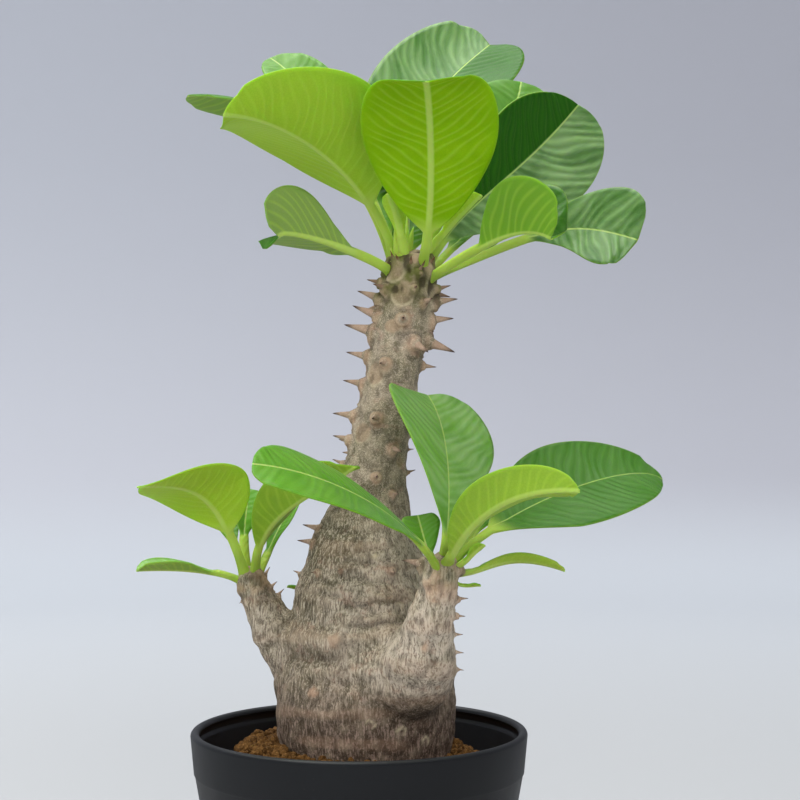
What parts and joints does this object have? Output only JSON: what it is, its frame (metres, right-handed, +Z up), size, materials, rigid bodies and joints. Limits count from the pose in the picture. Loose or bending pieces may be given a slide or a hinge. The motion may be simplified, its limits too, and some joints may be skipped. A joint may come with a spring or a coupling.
{
  "type": "potted pachypodium",
  "caption": "Small caudiciform succulent with a swollen bottle-shaped stem, spines, side branches and heads of broad leaves, in a round plastic nursery pot",
  "frame": {"origin": "middle of the pot's base, on the surface that the pot stands on", "axes": "+Z is up; +X is to the right and +Y is away from the viewer in the pictured view"},
  "size_m": [0.163, 0.184, 0.3281],
  "materials": {
    "bark": "matte",
    "leaf": "satin",
    "soil": "matte",
    "plastic": "satin"
  },
  "bodies": {
    "root": {"stem": "bark", "pot": "plastic", "soil": "soil", "leaf_crown_front": "leaf", "leaf_crown_front_left": "leaf", "leaf_crown_left": "leaf", "leaf_crown_left_back": "leaf", "leaf_crown_back_left": "leaf", "leaf_crown_back": "leaf", "leaf_crown_back_right": "leaf", "leaf_crown_right_back": "leaf", "leaf_crown_right": "leaf", "leaf_crown_front_right": "leaf", "leaf_crown_rear": "leaf", "leaf_crown_rear_left": "leaf", "leaf_crown_rear_right": "leaf", "leaf_crown_young_front": "leaf", "leaf_crown_young_right": "leaf", "leaf_left_front": "leaf", "leaf_left_right": "leaf", "leaf_left_low": "leaf", "leaf_left_back": "leaf", "leaf_left_rear": "leaf", "leaf_left_rear_right": "leaf", "leaf_right_front_left": "leaf", "leaf_right_up": "leaf", "leaf_right_front": "leaf", "leaf_right_side": "leaf", "leaf_right_low": "leaf", "leaf_right_back": "leaf", "leaf_right_rear": "leaf", "leaf_right_small": "leaf", "leaf_right_tiny": "leaf", "leaf_body_sprout": "leaf"}
  },
  "joints": []
}
